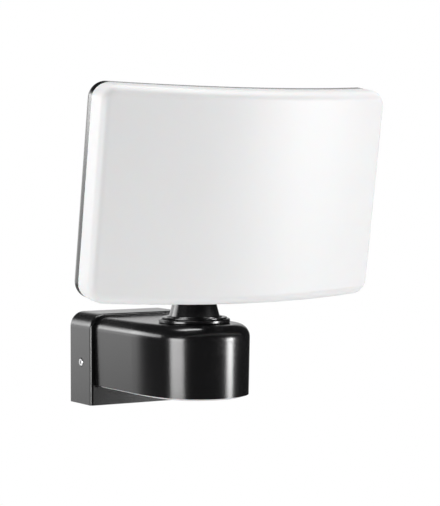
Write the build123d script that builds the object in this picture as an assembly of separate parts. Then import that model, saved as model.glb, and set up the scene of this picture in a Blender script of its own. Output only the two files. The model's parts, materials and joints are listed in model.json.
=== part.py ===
"""Floodlight security camera: a wall casting with a round nose, a neck that pans on it
and a wide curved lamp head that tilts on the neck.

The wall is the plane Y = 0, the object stands out toward -Y, X is right and Z is up.
The origin is the middle of the wall bracket. All sizes are millimetres.
"""

import os
from math import acos, asin, cos, degrees, radians, sin, sqrt

from build123d import *

# ---- driving dimensions ----------------------------------------------------------

wall_t = 2.5                                   # every casting and moulding wall

box_w, box_d = 84.0, 32.4                      # wall box
box_top, box_bottom = 33.6, -32.8
box_corner_r, box_front_r = 11.0, 2.0

axis_y = -108.5                                # pan axis
nose_r, nose_foot_r = 39.0, 38.0               # half width at the top and at the foot
nose_top, nose_bottom = 31.3, -18.1
nose_edge_r = 9.5
tip_y, tip_r, flank_r = -114.3, 36.0, 160.0    # round front, and the bend of the flanks into it

ring_r, ring_t = 25.0, 3.0                     # fixed ring under the neck
flange_r, flange_z, flange_t = 22.9, 34.5, 0.9 # the neck's turning flange
foot_r, cone_r, cone_z = 19.3, 17.7, 36.2
column_r, column_z = 12.4, 56.5
pivot_z, slot_half, slot_z = 80.0, 6.4, 61.0   # tilt pivot and the fork around it
journal_r, bore_r, thread_r = 13.95, 14.0, 12.5

tilt = 9.3                                     # the head leans forward this much, degrees
head_y, head_z = -175.8, 120.9                 # middle of the seam round the head
head_w, head_h, head_corner = 109.8, 71.6, 11.0
head_bend = 306.0                              # radius of the seam's curve
shell_d, lens_d = 13.2, 16.2                   # metal behind the seam, diffuser before it
shell_edge_r, lens_edge_r = 7.3, 6.8
fin_pitch, fin_h, fin_t, fin_half = 12, 7, 2, 46

board_z, board_t = 2.0, 1.6                    # driver board
board_x, board_back, board_front = 27.0, -40.0, -84.0
camera_z = -4.0                                # camera and sensor board
camera_y, motion_y = -122.0, -98.0

cover_top, cover_seat, cover_bottom = -16.6, -18.0, -19.6
cover_half, cover_back = 34.4, -32.5
gasket_t, gasket_h = 1.0, 1.2
hole_spacing = 60.0                            # wall holes

box_z = (box_top + box_bottom) / 2


# ---- helpers ---------------------------------------------------------------------

def block(x0, x1, y0, y1, z0, z1):
    middle = ((x0 + x1) / 2, (y0 + y1) / 2, (z0 + z1) / 2)
    return Pos(*middle) * Box(abs(x1 - x0), abs(y1 - y0), abs(z1 - z0))


def post(x, y, z0, z1, r):
    return Pos(x, y, (z0 + z1) / 2) * Cylinder(r, abs(z1 - z0))


def rod_x(x0, x1, y, z, r):
    return Pos((x0 + x1) / 2, y, z) * Rot(0, 90, 0) * Cylinder(r, abs(x1 - x0))


def rod_y(x, y0, y1, z, r):
    return Pos(x, (y0 + y1) / 2, z) * Rot(90, 0, 0) * Cylinder(r, abs(y1 - y0))


def ring(y, z0, z1, outer, inner):
    return post(0, y, z0, z1, outer) - post(0, y, z0 - 1, z1 + 1, inner)


def turned(y, outline):
    """A solid of revolution about the vertical line x = 0 at y, from (radius, z) points."""
    face = make_face(Polyline([(r, 0, z) for r, z in outline], close=True))
    return Pos(0, y, 0) * revolve(face, Axis.Z, 360)


def lead(points, r, start, end):
    path = Spline(points, tangents=(start, end))
    section = Plane(origin=path @ 0, z_dir=path % 0) * Circle(r)
    return sweep(section, path=path)


def screw(seat, toward, head_r, head_t, shank_r, length):
    """A socket screw: the head stands on the seat, the shank goes along toward."""
    head = Pos(0, 0, -head_t / 2) * Cylinder(head_r, head_t)
    head = chamfer(head.edges().sort_by(Axis.Z)[:1], head_t * 0.25)
    socket = extrude(Pos(0, 0, -head_t - 0.01) * RegularPolygon(head_r * 0.5, 6), head_t * 0.6)
    body = head - socket + Pos(0, 0, length / 2) * Cylinder(shank_r, length)
    return Plane(origin=seat, z_dir=toward).location * body


def facing_front(x, y, z):
    """A plane square to Y that looks toward -Y, with X to its right and Z up."""
    return Plane((x, y, z), x_dir=(1, 0, 0), z_dir=(0, -1, 0))


def save(name, *solids):
    shape = solids[0] if len(solids) == 1 else Compound(children=list(solids))
    export_step(shape, f"parts/{name}.step")


# ---- wall box and nose -----------------------------------------------------------

def box_outline(inset):
    w, h = box_w - 2 * inset, box_top - box_bottom - 2 * inset
    outline = Rectangle(w, h)
    return fillet(outline.vertices().group_by(Axis.Y)[-1], box_corner_r - inset * 0.9)


def box_block(inset, y0, y1):
    return extrude(facing_front(0, y0, box_z) * box_outline(inset), y0 - y1)


def nose_outline(half_w, y_back):
    """Straight flanks that bend gently into a round front."""
    gap = nose_r - half_w
    to_flank, to_tip = flank_r - nose_r, flank_r - tip_r
    swing = degrees(acos(to_flank / to_tip))
    bend_y = tip_y + to_tip * sin(radians(swing))
    left = CenterArc((to_flank, bend_y), flank_r - gap, 180, swing)
    front = CenterArc((0, tip_y), tip_r - gap, 180 + swing, 180 - 2 * swing)
    right = CenterArc((-to_flank, bend_y), flank_r - gap, -swing, swing)
    back = Polyline((half_w, bend_y), (half_w, y_back), (-half_w, y_back), (-half_w, bend_y))
    return make_face([left, front, right, back])


def nose_block(inset, y_back, z0, z1, edge_r=0.0):
    """The D-shaped nose, a little wider at its top than at its foot."""
    slope = (nose_r - nose_foot_r) / (nose_top - nose_bottom)
    low, high = (nose_foot_r + slope * (z - nose_bottom) - inset for z in (z0, z1))
    body = loft([Pos(0, 0, z0) * nose_outline(low, y_back),
                 Pos(0, 0, z1) * nose_outline(high, y_back)], ruled=True)
    if edge_r:
        rim = [e for e in body.edges().group_by(Axis.Z)[-1] if e.center().Y < y_back - 1]
        body = fillet(rim, edge_r)
    return body


board_posts = [(x, y) for x in (-22, 22) for y in (-45, -79)]
camera_posts = [(-26, -96), (26, -96), (-20, -134), (20, -134)]
cover_posts = [(-30.6, -45), (30.6, -45), (-30.6, -86), (30.6, -86), (0, -141.5)]
side_screw_y, side_screw_z = -17.0, -2.3


def base_casing():
    box = box_block(0, 0, -box_d)
    box = fillet([e for e in box.edges().group_by(Axis.Y)[0] if e.center().Z > box_bottom + 1],
                 box_front_r)
    body = box + nose_block(0, -box_d + 2, nose_bottom, nose_top, nose_edge_r)
    body -= box_block(wall_t, 1, -box_d + wall_t)
    body -= nose_block(wall_t, -box_d + 6, nose_bottom - 1, nose_top - wall_t, 7.0)
    body += block(-36, 36, -box_d + wall_t, -box_d, nose_bottom - 2, cover_top)   # stops the cover
    roof = nose_top - wall_t + 0.5
    body += post(0, axis_y, 24.0, roof, 21)                       # boss round the neck's bore
    for x, y in board_posts:
        body += post(x, y, board_z + board_t, roof, 3.2)
        body -= post(x, y, board_z, board_z + 11, 1.25)
    for x, y in camera_posts:
        body += post(x, y, camera_z + 1.6, roof, 3.0)
        body -= post(x, y, camera_z, camera_z + 9, 1.0)
    for x, y in cover_posts:
        rib = (block(x, x * 1.24, y - 1.5, y + 1.5, cover_top, 8) if x else
               block(-1.5, 1.5, y, y - 7, cover_top, 8))
        body += post(x, y, cover_top, 8, 3.4) + rib
        body -= post(x, y, cover_top - 2, cover_top + 10, 1.25)
    body -= post(0, axis_y, 20, 40, bore_r)
    body -= box_block(1.2, 1, -1.5)                               # rebate for the wall gasket
    for side in (-1, 1):
        x = side * box_w / 2
        body -= rod_x(x - side * 1.0, x + side, side_screw_y, side_screw_z, 3.2)
        body -= rod_x(x - side * 5, x + side, side_screw_y, side_screw_z, 1.6)
    return body


def wall_gasket():
    return box_block(1.2, 0, -1.5) - box_block(wall_t, 1, -3)


# ---- bracket and what it carries -------------------------------------------------

def wall_bracket():
    half_w = box_w / 2 - wall_t - 0.1
    plate = facing_front(0, 0, 0) * fillet(Rectangle(2 * half_w, 52).vertices(), 5)
    body = extrude(plate, 1.5)
    for side in (-1, 1):
        body += block(side * (half_w - 1.5), side * half_w, 0, -25, -14, 7)
        body += rod_x(side * (half_w - 4.5), side * half_w, side_screw_y, side_screw_z, 3.6)
        body -= rod_x(side * (half_w - 6), side * (half_w + 1), side_screw_y, side_screw_z, 1.45)
        slot = SlotOverall(10, 5.2)
        body -= extrude(facing_front(side * hole_spacing / 2, 1, 0) * slot, 4)
    body -= rod_y(0, 1, -4, 0, 9.0)                               # supply cable
    for x in (-11, 11):
        body -= rod_y(x, 1, -4, -19, 1.5)
    return body


def cable_grommet():
    body = rod_y(0, -0.1, -4.5, 0, 8.9) + rod_y(0, -1.6, -3.0, 0, 11.0) - rod_y(0, 1, -9, 0, 4.5)
    return body


def side_screws():
    x = box_w / 2 - 1.0
    return [screw((side * x, side_screw_y, side_screw_z), (-side, 0, 0), 2.8, 1.5, 1.4, 6)
            for side in (-1, 1)]


pole_x = (-10, 0, 10)


def terminal_block():
    body = block(-15.5, 15.5, -1.6, -17.6, -25, -13)
    for x in pole_x:
        body -= post(x, -9.6, -16, -12, 2.6)                      # screw wells, open upward
        body -= post(x, -9.6, -17.6, -15, 1.5)
        body -= rod_y(x, -10, -18, -19, 1.6)                      # wire mouths
    for x in (-5, 5):
        body -= post(x, -9.6, -14, -12, 1.0)
    return body


def terminal_screws():
    return [screw((x, -9.6, -15.9), (0, 0, -1), 2.4, 1.6, 1.5, 1.4) for x in pole_x]


def supply_leads():
    route = [(-17.0, -19.0), (-25.0, -16.5), (-32.0, -4.0), (-38.0, 6.0), (-42.4, 7.6)]
    leads = []
    for n, x in enumerate(pole_x):
        far = -15 + n * 4
        points = [(x + (far - x) * k / 4, y, z) for k, (y, z) in enumerate(route)]
        leads.append(lead(points, 1.0, (0, -1, 0), (0, -1, 0)))
    return leads


# ---- driver ----------------------------------------------------------------------

def driver_board():
    body = block(-board_x, board_x, board_back, board_front, board_z, board_z + board_t)
    body = fillet(body.edges().filter_by(Axis.Z), 2)
    for x, y in board_posts:
        body -= post(x, y, board_z - 1, board_z + board_t + 1, 1.4)
    return body


def driver_screws():
    return [screw((x, y, board_z), (0, 0, 1), 2.4, 1.6, 1.2, 9) for x, y in board_posts]


board_top = board_z + board_t


def transformer():
    core = block(-20, -2, -53, -71, board_top + 1.5, board_top + 14)
    core -= block(-16, -6, -52, -72, board_top + 4.5, board_top + 11)
    bobbin = block(-21, -1, -56, -68, board_top, board_top + 1.5)
    coil = block(-15.8, -6.2, -51.5, -72.5, board_top + 4.7, board_top + 10.8)
    return core + bobbin + coil


def capacitors():
    cans = []
    for x, y, r, h in ((6, -50, 5.0, 16), (17, -55, 5.0, 16), (5, -77, 3.2, 11)):
        can = post(x, y, board_top, board_top + h, r)
        cans.append(fillet(can.edges().group_by(Axis.Z)[-1], 0.8))
    return cans


def choke():
    coil = post(13, -69, board_top + 0.8, board_top + 8, 6.5) - post(13, -69, 0, 20, 2.6)
    coil = fillet(coil.edges(), 1.2)
    return coil + block(8, 18, -64, -74, board_top, board_top + 1.2)


def fuse():
    body = rod_x(-18, -1, -76.5, board_top + 3.4, 2.4)
    for x in (-16.5, -2.5):
        body += block(x - 1.2, x + 1.2, -73.9, -79.1, board_top, board_top + 3.4)
    return body


def driver_connectors():
    supply = block(-17.5, -4.5, -42.4, -49.5, board_top, board_top + 7)
    lamp = block(10, 18.6, -76.5, -82.5, board_top, board_top + 7)
    return [supply, lamp]


def lamp_lead():
    """From the driver's outlet to just under the neck's bore."""
    points = [(14, -82.6, 7.5), (12, -90, 5.0), (5, -101, 2.5), (0.5, axis_y, 7.0), (0, axis_y, 13.8)]
    return lead(points, 2.0, (0, -1, 0), (0, 0, 1))


# ---- camera and motion sensor under the nose -------------------------------------

def camera_board():
    z0, z1 = camera_z, camera_z + 1.6
    body = block(-30, 30, -91, -112, z0, z1) + block(-24, 24, -110, -135, z0, z1)
    body &= nose_block(4.5, -60, nose_bottom, nose_top)
    for x, y in camera_posts:
        body -= post(x, y, z0 - 1, z1 + 1, 1.2)
    return body


def camera_board_screws():
    return [screw((x, y, camera_z), (0, 0, 1), 1.9, 1.3, 0.95, 8) for x, y in camera_posts]


def camera_barrel():
    foot = block(-9, 9, camera_y - 9, camera_y + 9, camera_z - 3, camera_z)
    body = foot + post(0, camera_y, camera_z - 12.0, camera_z, 7.2)
    body -= post(0, camera_y, camera_z - 9.5, camera_z + 1, 5.6)
    return body - post(0, camera_y, camera_z - 13, camera_z, 5.0)


def camera_lens():
    front = camera_z - 12.0
    dome = Pos(0, camera_y, front + 9.0) * Sphere(10.4)
    return post(0, camera_y, front - 1.2, front + 2.4, 4.9) & dome


def image_sensor():
    return block(-3.8, 3.8, camera_y - 3.8, camera_y + 3.8, camera_z - 1.2, camera_z)


def motion_sensor():
    can = post(0, motion_y, camera_z - 4.4, camera_z, 4.1)
    can += post(0, motion_y, camera_z - 0.6, camera_z, 4.6)
    return can


def radio_module():
    top = camera_z + 1.6
    return block(-21, -5, -99, -113, top, top + 0.8) + block(-20, -8, -100, -112, top, top + 2.6)


def bottom_cover():
    body = extrude(Pos(0, 0, cover_bottom) * nose_outline(cover_half, cover_back - gasket_t),
                   cover_top - cover_bottom)
    body = fillet(body.edges().group_by(Axis.Z)[0], 1.2)
    body -= post(0, camera_y, -25, -10, 8.0) + post(0, camera_y, -25, cover_seat, 9.2)
    body -= post(0, motion_y, -25, -10, 7.0) + post(0, motion_y, -25, cover_seat, 8.2)
    for x, y in cover_posts:
        body -= post(x, y, -25, -10, 1.5) + post(x, y, -25, cover_seat, 2.5)
    return body


def cover_gasket():
    outer, inner = (nose_outline(cover_half + t, cover_back - gasket_t + t) for t in (gasket_t, 0))
    outer, inner = (extrude(Pos(0, 0, cover_seat) * face, gasket_h) for face in (outer, inner))
    return outer - inner


def cover_screws():
    return [screw((x, y, cover_seat), (0, 0, 1), 2.3, 1.4, 1.2, 9) for x, y in cover_posts]


def camera_window():
    return post(0, camera_y, cover_bottom + 0.1, cover_seat, 9.1)


def motion_lens():
    body = post(0, motion_y, cover_bottom, cover_seat, 8.1)
    for r in (2.0, 4.0, 6.0):
        body -= ring(motion_y, cover_seat - 0.3, cover_seat + 0.5, r + 0.4, r)
    return body


# ---- neck ------------------------------------------------------------------------

def collar_ring():
    body = ring(axis_y, nose_top, nose_top + ring_t, ring_r, bore_r + 0.4)
    rims = [e for e in body.edges().filter_by(GeomType.CIRCLE) if e.radius > ring_r - 0.1]
    body = fillet(rims, 0.9)
    groove = ring(axis_y, nose_top + 1.3, nose_top + 1.7, ring_r + 1, ring_r - 0.4)
    return body - groove


def thrust_washer():
    return ring(axis_y, 23.2, 24.0, 20, bore_r + 0.4)


def neck():
    body = turned(axis_y, [
        (9, 15), (thread_r, 15), (thread_r, 24), (journal_r, 24), (journal_r, flange_z),
        (flange_r - 0.3, flange_z), (flange_r, flange_z + 0.3), (flange_r, flange_z + flange_t - 0.3),
        (flange_r - 0.3, flange_z + flange_t), (foot_r, flange_z + flange_t), (foot_r, cone_z - 0.3),
        (foot_r - 0.3, cone_z), (cone_r, cone_z), (column_r, column_z), (column_r, pivot_z),
        (0, pivot_z), (0, slot_z), (6, slot_z), (9, 50)])
    top = post(0, axis_y, pivot_z - 1, pivot_z + column_r, column_r)
    body += top & rod_x(-column_r, column_r, axis_y, pivot_z, column_r)
    body -= block(-slot_half, slot_half, axis_y - 20, axis_y + 20, slot_z, pivot_z + 20)
    body -= post(0, axis_y, slot_z - 5, slot_z + 1, 6)
    body -= rod_x(-20, 20, axis_y, pivot_z, 3.0)
    for side in (-1, 1):
        body -= rod_x(side * 10.6, side * 20, axis_y, pivot_z, 7.2)
    body -= ring(axis_y, 26.6, 28.6, journal_r + 1, 12.6)          # seal groove
    return body


def neck_seal():
    return ring(axis_y, 26.7, 28.5, journal_r + 0.02, 12.7)


def wave_washer():
    return ring(axis_y, 22.0, 22.8, 18.5, thread_r + 0.2)


def retaining_nut():
    blank = extrude(Pos(0, axis_y, 17.0) * RegularPolygon(19, 8), 5)
    return blank - post(0, axis_y, 16, 23, thread_r)


def hinge_bolt():
    return screw((11.6, axis_y, pivot_z), (-1, 0, 0), 5.0, 4.4, 2.97, 29.5)


def hinge_nut():
    face = Plane((-11.6, axis_y, pivot_z), z_dir=(-1, 0, 0)) * RegularPolygon(5.7, 6)
    return extrude(face, 5) - rod_x(-20, -10, axis_y, pivot_z, 2.97)


def hinge_washers():
    return [rod_x(side * 10.6, side * 11.6, axis_y, pivot_z, 6.2)
            - rod_x(side * 9, side * 13, axis_y, pivot_z, 3.05) for side in (-1, 1)]


def neck_lead():
    points = [(0, axis_y, 15.2), (1.2, axis_y, 30), (-1.0, axis_y - 1, 46), (0, axis_y - 2, 59.5)]
    return lead(points, 2.0, (0, 0, 1), (0, 0, 1))


# ---- lamp head -------------------------------------------------------------------
# Built upright with the middle of its seam at the origin, the light going toward -Y,
# then leaned forward and set in place. "Depth" is measured outward from the seam's curve.

head_place = Location((0, head_y, head_z), (tilt, 0, 0))
pivot_y = (axis_y - head_y) * cos(radians(tilt)) + (pivot_z - head_z) * sin(radians(tilt))
pivot_h = (pivot_z - head_z) * cos(radians(tilt)) - (axis_y - head_y) * sin(radians(tilt))


def y_at(x, depth):
    return head_bend - sqrt((head_bend + depth) ** 2 - x ** 2)


def curved_block(half_w, half_h, corner, back, front):
    """A rounded rectangle with its two big faces bent round the head's curve."""
    outline = fillet(Rectangle(2 * half_w, 2 * half_h).vertices(), corner)
    prism = extrude(facing_front(0, 90, 0) * outline, 140)
    height = 4 * head_h
    bend = Cylinder(head_bend + front, height) - Cylinder(head_bend + back, height + 2)
    return prism & (Pos(0, head_bend, 0) * bend)


def around(x):
    """Carries what is built at x = 0 along the head's curve."""
    turn = degrees(asin(x / head_bend))
    return Pos(0, head_bend, 0) * Rot(0, 0, turn) * Pos(0, -head_bend, 0)


def soften(body, depth, r):
    """Round the edge where the sides meet the big face at this depth."""
    reach = head_bend + depth
    rim = [e for e in body.edges()
           if all(abs(sqrt(p.X ** 2 + (p.Y - head_bend) ** 2) - reach) < 0.01
                  for p in (e @ 0, e @ 0.5, e @ 1))]
    return fillet(rim, r)


def inset_block(inset, back, front):
    return curved_block(head_w - inset, head_h - inset, head_corner - inset * 0.9, back, front)


shell_posts = [(x, z) for x in (-98, 98) for z in (-56, 56)] + [(x, z) for x in (-48, 48) for z in (-60, 60)]
tray_posts = [(x, z) for x in (-80, 0, 80) for z in (-43, 43)]
arm_screw_points = [(x, z) for x in (-22, 22) for z in (-54, -30)]
floor_depth = -shell_d + wall_t
strip_z = (-30, 0, 30)
vent_z = 20
led_x = [-78 + 12 * n for n in range(14)]
strip_screw_x = (-48, 48)
tray_back, tray_front, strip_front = -8.0, -6.6, -5.4


def rear_shell():
    body = soften(inset_block(0, -shell_d, 0), -shell_d, shell_edge_r)
    for n in range(3, 9):                                         # cooling fins each side of the arm
        for x in (-n * fin_pitch, n * fin_pitch):
            root = y_at(x, -shell_d)
            body += block(x - fin_t / 2, x + fin_t / 2, root - 1, root + fin_h, -fin_half, fin_half)
    body -= soften(inset_block(5, floor_depth, -6), floor_depth, 4.0)
    body -= inset_block(wall_t, -6.5, 1)                          # seat for gasket and skirt
    for x, z in shell_posts:
        seat = y_at(x, -shell_d) + 1.6
        body += rod_y(x, y_at(x, -12), seat, z, 4.4)
        body -= rod_y(x, seat + 1, y_at(x, -5), z, 1.6)
    for x, z in tray_posts:
        body += around(x) * (rod_y(0, 12, -tray_back + 0.05, z, 4.0) - rod_y(0, 12.2, 0, z, 1.2))
        body -= around(x) * rod_y(0, 12, 0, z, 1.2)
    for x, z in arm_screw_points:
        body -= rod_y(x, 30, -10, z, 1.6)
    body -= rod_y(0, 30, -10, -55, 3.0)                           # way through for the lead
    body -= rod_y(0, 30, -10, vent_z, 4.0)
    return body


def tilt_arm():
    foot = extrude(facing_front(0, 19, -42)
                   * fillet(Rectangle(56, 38).vertices(), 8), 8)
    tongue_start = pivot_y - 20
    web = loft([facing_front(0, 17, -44) * Rectangle(30, 30),
                facing_front(0, tongue_start, pivot_h) * Rectangle(12, 21)], ruled=True)
    body = foot + web + block(-6, 6, tongue_start - 0.5, pivot_y, pivot_h - 10.5, pivot_h + 10.5)
    body += rod_x(-6, 6, pivot_y, pivot_h, 10.5)
    body -= inset_block(0, -shell_d, 5)
    body -= rod_x(-10, 10, pivot_y, pivot_h, 3.05)
    for x, z in arm_screw_points:
        body -= rod_y(x, 30, 5, z, 1.6)
    body -= rod_y(0, 5, pivot_y - 14, -54.5, 3.0)                 # lead channel
    return body - post(0, pivot_y - 16, -70, -54.5, 3.0)


def arm_screws():
    return [screw((x, y_at(x, floor_depth) - 0.3, z), (0, 1, 0), 2.8, 1.8, 1.45, 7)
            for x, z in arm_screw_points]


def led_tray():
    body = curved_block(92, 50, 6, tray_back, tray_front)
    for x, z in tray_posts:
        body -= around(x) * rod_y(0, 12, 0, z, 1.4)
    for x in strip_screw_x:
        for z in strip_z:
            body -= around(x) * rod_y(0, 12, 0, z, 1.1)
    return body


def tray_screws():
    return [around(x) * screw((0, -tray_front, z), (0, 1, 0), 2.8, 1.6, 1.15, 4)
            for x, z in tray_posts]


def led_boards():
    boards = []
    for z in strip_z:
        board = Pos(0, 0, z) * curved_block(86, 9, 1.5, tray_front, strip_front)
        for x in strip_screw_x:
            board -= around(x) * rod_y(0, 12, 0, z, 1.3)
        boards.append(board)
    return boards


def leds():
    chip = Pos(0, -strip_front - 0.4, 0) * Box(3.5, 0.8, 2.8)
    return [Pos(0, 0, z) * around(x) * chip for z in strip_z for x in led_x]


def strip_screws():
    return [around(x) * screw((0, -strip_front, z), (0, 1, 0), 2.1, 1.3, 1.05, 3.2)
            for x in strip_screw_x for z in strip_z]


def strip_connectors():
    return [block(-3, 3, y_at(0, strip_front) - 2.6, y_at(0, strip_front), z - 3, z + 3)
            for z in strip_z]


def reflector_frame():
    outer = curved_block(94.5, 53, 8, tray_front - 1.2, 2.5)
    inner = curved_block(93.2, 51.7, 6.7, tray_front - 2.5, 4)
    return outer - inner - block(-3, 3, -4, 12, -56, -49)         # the lead's notch


def diffuser():
    body = soften(inset_block(0, 0, lens_d), lens_d, lens_edge_r)
    body -= soften(inset_block(3.4, -1, lens_d - 2.4), lens_d - 2.4, lens_edge_r - 3)
    body += inset_block(2.7, -5, 2) - inset_block(4.2, -6, 3)
    for x, z in shell_posts:
        body += rod_y(x, y_at(x, -16), y_at(x, 16), z, 3.4) & inset_block(3, -10.5, lens_d - 1.2)
        body -= rod_y(x, y_at(x, -14), y_at(x, 0), z, 1.25)
    return body


def diffuser_gasket():
    return inset_block(2.7, -6.5, -5.1) - inset_block(4.2, -8, -4)


def shell_screws():
    return [screw((x, y_at(x, -shell_d) + 1.6, z), (0, -1, 0), 2.8, 1.8, 1.2, 13)
            for x, z in shell_posts]


def pressure_vent():
    body = rod_y(0, shell_d - 3.4, shell_d + 2, vent_z, 3.9)
    body += rod_y(0, shell_d + 0.1, shell_d + 2.2, vent_z, 6)
    return body - rod_y(0, shell_d + 1, shell_d + 4, vent_z, 1.2)


def head_lead():
    end = pivot_y - 16
    points = [(0, 3.9, -33.4), (0, 1.5, -43), (0, 2.5, -51.5), (0, 9, -55), (0, 20, -54.7),
              (0, 40, -54.5), (0, end - 2.5, -55.2), (0, end - 0.2, -58), (0, end, -61.5)]
    return lead(points, 1.3, (0, -0.3, -1), (0, 0, -1))


# ---- export ----------------------------------------------------------------------

fixed_parts = [base_casing, wall_gasket, wall_bracket, cable_grommet, terminal_block, driver_board,
               transformer, choke, fuse, lamp_lead, camera_board, camera_barrel, camera_lens, image_sensor,
               motion_sensor, radio_module, bottom_cover, cover_gasket, camera_window, motion_lens,
               collar_ring, thrust_washer]
fixed_groups = [side_screws, terminal_screws, supply_leads, driver_screws, capacitors,
                driver_connectors, camera_board_screws, cover_screws]
neck_parts = [neck, neck_seal, wave_washer, retaining_nut, hinge_bolt, hinge_nut, neck_lead]
neck_groups = [hinge_washers]
head_parts = [rear_shell, tilt_arm, led_tray, reflector_frame, diffuser, diffuser_gasket,
              pressure_vent, head_lead]
head_groups = [arm_screws, tray_screws, led_boards, leds, strip_screws, strip_connectors,
               shell_screws]

os.makedirs("parts", exist_ok=True)
for make in fixed_parts + neck_parts:
    save(make.__name__, make())
for make in fixed_groups + neck_groups:
    save(make.__name__, *make())
for make in head_parts:
    save(make.__name__, head_place * make())
for make in head_groups:
    save(make.__name__, *[head_place * solid for solid in make()])
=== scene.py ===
import json
import math

import bpy
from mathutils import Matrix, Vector

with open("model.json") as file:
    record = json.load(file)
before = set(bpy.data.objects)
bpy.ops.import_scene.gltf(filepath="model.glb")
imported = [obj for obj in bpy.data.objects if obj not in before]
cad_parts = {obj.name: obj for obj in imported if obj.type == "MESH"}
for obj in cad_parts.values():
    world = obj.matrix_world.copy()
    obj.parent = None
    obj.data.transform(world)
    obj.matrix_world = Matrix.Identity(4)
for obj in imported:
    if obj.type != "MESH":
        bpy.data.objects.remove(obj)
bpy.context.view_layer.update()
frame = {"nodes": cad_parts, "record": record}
bpy.context.scene.view_settings.view_transform = "Standard"  # whites stay white
print("frame loaded,", len(frame["nodes"]), "nodes")


# materials are written as expressions on wires

class Wire:
    def __init__(self, board, socket):
        self.board = board
        self.socket = socket

    def math(self, operation, first, second):
        return self.board.add("ShaderNodeMath", {"operation": operation}, {0: first, 1: second})

    def __add__(self, other):
        return self.math("ADD", self, other)

    def __radd__(self, other):
        return self.math("ADD", other, self)

    def __sub__(self, other):
        return self.math("SUBTRACT", self, other)

    def __rsub__(self, other):
        return self.math("SUBTRACT", other, self)

    def __mul__(self, other):
        return self.math("MULTIPLY", self, other)

    def __rmul__(self, other):
        return self.math("MULTIPLY", other, self)


def opaque(color):  # a colour written as three numbers gets its alpha
    return color + (1,) if isinstance(color, tuple) else color


class Board:
    def __init__(self, name):
        self.material = bpy.data.materials.new(name)
        self.material.use_nodes = True
        self.tree = self.material.node_tree
        self.shader = self.tree.nodes["Principled BSDF"]
        self.place = self.add("ShaderNodeTexCoord", out="Object")

    def add(self, kind, settings=None, values=None, out=0):
        node = self.tree.nodes.new(kind)
        for name, value in (settings or {}).items():
            setattr(node, name, value)
        for name, value in (values or {}).items():
            self.feed(node.inputs[name], value)
        return Wire(self, node.outputs[out])

    def feed(self, socket, value):
        if isinstance(value, Wire):
            self.tree.links.new(value.socket, socket)
        else:
            socket.default_value = value

    def noise(self, size, detail=2.0, place=None):  # size is the width of one blob, in metres
        return self.add("ShaderNodeTexNoise", None,
                        {"Vector": place or self.place, "Scale": 1.0 / size, "Detail": detail})

    def cells(self, size):
        return self.add("ShaderNodeTexVoronoi", None,
                        {"Vector": self.place, "Scale": 1.0 / size}, out="Distance")

    def stretch(self, x, y, z):
        return self.add("ShaderNodeMapping", None, {"Vector": self.place, "Scale": (x, y, z)})

    def spread(self, value, low, high):  # rescales low..high to 0..1
        return self.add("ShaderNodeMapRange", {"clamp": True},
                        {"Value": value, "From Min": low, "From Max": high})

    def blend(self, factor, first, second):
        return self.add("ShaderNodeMix", {"data_type": "RGBA"},
                        {"Factor": factor, 6: opaque(first), 7: opaque(second)}, out=2)

    def bump(self, height, depth):  # depth in metres
        return self.add("ShaderNodeBump", None, {"Height": height, "Distance": depth, "Strength": 1.0})

    def finish(self, **inputs):
        names = {"color": "Base Color", "roughness": "Roughness", "metallic": "Metallic", "normal": "Normal",
                 "ior": "IOR", "coat": "Coat Weight",
                 "transmission": "Transmission Weight",
                 "subsurface": "Subsurface Weight", "subsurfaceScale": "Subsurface Scale"}
        for name, value in inputs.items():
            self.feed(self.shader.inputs[names[name]], opaque(value) if name == "color" else value)
        return self.material


# finishes

def satinCoat():  # black powder coat on a casting
    settings = {"grain": 0.0006, "grainDepth": 0.000012, "cloud": 0.045, "roughness": 0.21}
    board = Board("satin_coat")
    grain = board.noise(settings["grain"], 2.0)
    cloud = board.noise(settings["cloud"], 4.0)
    dust = board.noise(0.0028, 6.0) * cloud
    speck = board.spread(dust, 0.36, 0.5)
    color = board.blend(cloud, (0.0035, 0.0035, 0.0038), (0.006, 0.006, 0.0063))
    color = board.blend(speck * 0.25, color, (0.03, 0.03, 0.029))
    roughness = settings["roughness"] + (cloud - 0.5) * 0.06 + speck * 0.05
    return board.finish(color=color, roughness=roughness, ior=1.5,
                        normal=board.bump(grain, settings["grainDepth"]))


def opalPlastic():  # moulded opal polycarbonate
    settings = {"roughness": 0.48, "ripple": 0.06, "grain": 0.0011}
    board = Board("opal_plastic")
    ripple = board.noise(settings["ripple"], 2.0)
    grain = board.noise(settings["grain"], 2.0)
    color = board.blend(ripple, (0.588, 0.588, 0.592), (0.612, 0.612, 0.615))
    roughness = settings["roughness"] + (grain - 0.5) * 0.05 + (ripple - 0.5) * 0.05
    height = ripple * 6.0 + grain * 0.02
    return board.finish(color=color, roughness=roughness, normal=board.bump(height, 0.00002),
                        subsurface=0.15, subsurfaceScale=0.003)


def palePlastic():  # frosted cover under the nose
    board = Board("pale_plastic")
    ripple = board.noise(0.02, 3.0)
    grain = board.noise(0.0005, 2.0)
    color = board.blend(ripple, (0.44, 0.445, 0.45), (0.5, 0.505, 0.51))
    return board.finish(color=color, roughness=0.3 + (grain - 0.5) * 0.16,
                        normal=board.bump(grain, 0.00002), subsurface=0.2, subsurfaceScale=0.002)


def clearPane():
    board = Board("clear_pane")
    smear = board.noise(0.006, 4.0)
    return board.finish(color=(0.93, 0.95, 0.97), roughness=0.03 + smear * 0.06, ior=1.49, transmission=1.0)


def coatedLens():
    board = Board("coated_lens")
    bloom = board.noise(0.004, 2.0)
    color = board.blend(bloom, (0.012, 0.012, 0.03), (0.03, 0.012, 0.04))
    return board.finish(color=color, roughness=0.04 + bloom * 0.03, ior=1.7, coat=1.0)


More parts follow.
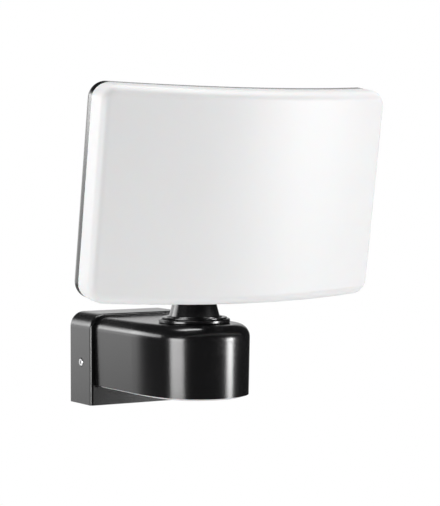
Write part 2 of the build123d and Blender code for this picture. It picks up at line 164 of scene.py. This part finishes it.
def platedSteel(name, tint, brushed, roughness):  # zinc plated, stainless and spring steel
    board = Board(name)
    streak = board.noise(0.0004, 3.0, board.stretch(*brushed))
    cloud = board.noise(0.008, 4.0)
    color = board.blend(cloud, tuple(c * 0.86 for c in tint), tint)
    rough = roughness + (streak - 0.5) * 0.22 + (cloud - 0.5) * 0.1
    return board.finish(color=color, roughness=rough, metallic=1.0, normal=board.bump(streak, 0.000008))


def seal():
    board = Board("seal_rubber")
    grain = board.noise(0.0005, 3.0)
    color = board.blend(grain, (0.012, 0.012, 0.012), (0.03, 0.03, 0.029))
    return board.finish(color=color, roughness=0.72 + grain * 0.15, normal=board.bump(grain, 0.00003))


def circuitBoard(name, mask, copper):
    board = Board(name)
    cell = board.cells(0.0035)
    track = board.spread(cell, 0.30, 0.34)
    grain = board.noise(0.0006, 2.0)
    color = board.blend(track, mask, copper)
    color = board.blend(grain * 0.3, color, tuple(c * 0.6 for c in mask))
    return board.finish(color=color, roughness=0.34 + grain * 0.12, normal=board.bump(track, 0.00002))


def phosphor():
    board = Board("led_phosphor")
    grain = board.noise(0.0004, 2.0)
    color = board.blend(grain, (0.82, 0.66, 0.2), (0.95, 0.83, 0.38))
    return board.finish(color=color, roughness=0.35 + grain * 0.1, subsurface=0.2, subsurfaceScale=0.001)


def moulded(name, dark, light, roughness):
    board = Board(name)
    grain = board.noise(0.00045, 2.0)
    cloud = board.noise(0.012, 3.0)
    color = board.blend(cloud, dark, light)
    return board.finish(color=color, roughness=roughness + (grain - 0.5) * 0.14,
                        normal=board.bump(grain, 0.000018))


def woundCopper():
    board = Board("wound_copper")
    turns = board.add("ShaderNodeTexWave", {"wave_type": "RINGS"},
                      {"Vector": board.place, "Scale": 420.0, "Distortion": 0.6})
    color = board.blend(turns, (0.16, 0.055, 0.018), (0.62, 0.27, 0.1))
    return board.finish(color=color, roughness=0.34 + turns * 0.1, metallic=0.6,
                        normal=board.bump(turns, 0.00015))


finishes = {
    "black_casting": satinCoat(),
    "opal_diffuser": opalPlastic(),
    "pale_cover": palePlastic(),
    "clear_window": clearPane(),
    "lens_glass": coatedLens(),
    "zinc_steel": platedSteel("zinc_steel", (0.56, 0.57, 0.58), (1, 6, 1), 0.42),
    "screw_steel": platedSteel("screw_steel", (0.66, 0.66, 0.67), (3, 3, 1), 0.28),
    "spring_steel": platedSteel("spring_steel", (0.42, 0.42, 0.45), (1, 1, 5), 0.36),
    "brass": platedSteel("brass", (0.78, 0.58, 0.26), (3, 3, 1), 0.3),
    "aluminium": platedSteel("aluminium", (0.74, 0.75, 0.76), (1, 1, 8), 0.38),
    "seal_rubber": seal(),
    "green_board": circuitBoard("green_board", (0.012, 0.09, 0.035), (0.03, 0.16, 0.06)),
    "white_board": circuitBoard("white_board", (0.8, 0.8, 0.78), (0.72, 0.72, 0.7)),
    "led_resin": phosphor(),
    "white_plastic": moulded("white_plastic", (0.70, 0.70, 0.69), (0.78, 0.78, 0.76), 0.45),
    "black_plastic": moulded("black_plastic", (0.012, 0.012, 0.012), (0.022, 0.022, 0.022), 0.5),
    "ferrite": moulded("ferrite", (0.035, 0.033, 0.032), (0.06, 0.056, 0.054), 0.55),
    "copper_coil": woundCopper(),
    "can_sleeve": moulded("can_sleeve", (0.012, 0.02, 0.07), (0.02, 0.03, 0.1), 0.28),
    "fuse_glass": moulded("fuse_ceramic", (0.62, 0.6, 0.52), (0.72, 0.69, 0.6), 0.3),
    "tin_can": platedSteel("tin_can", (0.7, 0.7, 0.68), (1, 4, 1), 0.3),
    "sensor_die": moulded("sensor_die", (0.02, 0.02, 0.035), (0.05, 0.03, 0.07), 0.12),
    "wire": moulded("lead_sheath", (0.015, 0.015, 0.015), (0.03, 0.03, 0.03), 0.42),
    "ptfe": moulded("ptfe", (0.70, 0.70, 0.68), (0.78, 0.78, 0.76), 0.5),
}
print("finishes ready,", len(finishes))

slotOf = {part["node"]: part["material_slot"] for part in frame["record"]["subparts"]}


def dress(piece, slot):
    piece.data.materials.clear()
    piece.data.materials.append(finishes[slot])


for node, slot in slotOf.items():
    dress(bpy.data.objects[node], slot)


# camera, lights and floor

def addCamera():
    view = {"lens": 135.2, "place": (-0.6725, -1.2509, 0.1389), "azimuth": -31.26, "elevation": 2.55}
    data = bpy.data.cameras.new("camera")
    data.lens = view["lens"]
    data.clip_end = 30
    camera = bpy.data.objects.new("camera", data)
    bpy.context.collection.objects.link(camera)
    camera.location = view["place"]
    camera.rotation_euler = (math.radians(90 - view["elevation"]), 0, math.radians(view["azimuth"]))
    bpy.context.scene.camera = camera


def addSoftbox(name, azimuth, elevation, halfWidth, halfHeight, radiance):  # angles in degrees
    distance = 1.6  # metres from the middle of the object
    turn, rise = math.radians(azimuth), math.radians(elevation)
    target = Vector((0, -0.12, 0.05))
    way = Vector((math.sin(turn) * math.cos(rise), -math.cos(turn) * math.cos(rise), math.sin(rise)))
    data = bpy.data.lights.new(name, "AREA")
    data.shape = "RECTANGLE"
    data.size = 2 * distance * math.tan(math.radians(halfWidth))
    data.size_y = 2 * distance * math.tan(math.radians(halfHeight))
    data.energy = radiance * math.pi * data.size * data.size_y
    lamp = bpy.data.objects.new(name, data)
    bpy.context.collection.objects.link(lamp)
    lamp.location = target + way * distance
    lamp.rotation_euler = (-way).to_track_quat("-Z", "Y").to_euler()


def addSky():
    sky = {"seen": 1.0, "left": 2.1, "right": 0.72, "dark": 0.03,
           "leftEdge": -143, "rightEdge": 135, "soft": 1.5, "top": 20, "bottom": -7}
    world = bpy.data.worlds.new("studio")
    bpy.context.scene.world = world
    world.use_nodes = True
    tree = world.node_tree

    def node(kind, settings, values):
        made = tree.nodes.new(kind)
        for name, value in settings.items():
            setattr(made, name, value)
        for name, value in values.items():
            if isinstance(value, bpy.types.NodeSocket):
                tree.links.new(value, made.inputs[name])
            else:
                made.inputs[name].default_value = value
        return made.outputs[0]

    way = tree.nodes.new("ShaderNodeTexCoord").outputs["Generated"]
    split = tree.nodes.new("ShaderNodeSeparateXYZ")
    tree.links.new(way, split.inputs[0])
    x, y, z = split.outputs

    def ramp(value, low, high, first, last):
        return node("ShaderNodeMapRange", {"interpolation_type": "SMOOTHSTEP"},
                    {"Value": value, "From Min": low, "From Max": high, "To Min": first, "To Max": last})

    # a bearing of 0 is straight behind the object, and right is plus
    bearing = node("ShaderNodeMath", {"operation": "ARCTAN2"}, {0: x, 1: y})
    leftEdge = math.radians(-180 - sky["leftEdge"])
    rightEdge = math.radians(180 - sky["rightEdge"])
    soft = math.radians(sky["soft"])
    inLeft = ramp(bearing, leftEdge - soft, leftEdge + soft, 0, 1)
    inRight = ramp(bearing, rightEdge - soft, rightEdge + soft, 1, 0)
    low, high = math.sin(math.radians(sky["bottom"])), math.sin(math.radians(sky["top"]))
    above = ramp(z, low - 0.06, low + 0.05, 0.25, 1)
    below = ramp(z, high - 0.03, high + 0.03, 1, 0)
    glow = ramp(bearing, leftEdge, rightEdge, sky["left"], sky["right"])
    for mask in (inLeft, inRight, above, below):
        glow = node("ShaderNodeMath", {"operation": "MULTIPLY"}, {0: glow, 1: mask})
    glow = node("ShaderNodeMath", {"operation": "ADD"}, {0: glow, 1: sky["dark"]})
    seen = tree.nodes.new("ShaderNodeLightPath").outputs["Is Camera Ray"]
    strength = node("ShaderNodeMix", {}, {0: seen, 2: glow, 3: sky["seen"]})
    background = tree.nodes["Background"]
    background.inputs["Color"].default_value = (1, 1, 1, 1)
    tree.links.new(strength, background.inputs["Strength"])


def addFloor():
    floor = {"drop": 0.5, "radius": 1.0}
    bpy.ops.mesh.primitive_circle_add(vertices=96, radius=floor["radius"], fill_type="NGON",
                                      location=(0, -0.1, -floor["drop"]))
    piece = bpy.context.object
    piece.name = "studio_floor"
    board = Board("studio_floor")
    mottle = board.noise(0.4, 2.0)
    piece.data.materials.append(board.finish(color=board.blend(mottle, (0.84, 0.84, 0.84), (0.88, 0.88, 0.88)),
                                             roughness=0.8 + mottle * 0.1))


addCamera()
addSky()
addSoftbox("left_softbox", -80, -1.5, 16, 10.5, 14)
addSoftbox("right_softbox", 44, -1, 8, 9.5, 33)
addSoftbox("rear_strip", -140, 12, 14, 7, 6)
addSoftbox("top_softbox", 35, 64, 16, 12, 8)
addSoftbox("crown_strip", 170, 78, 20, 7, 12)
addFloor()
print("camera, lights and floor set")
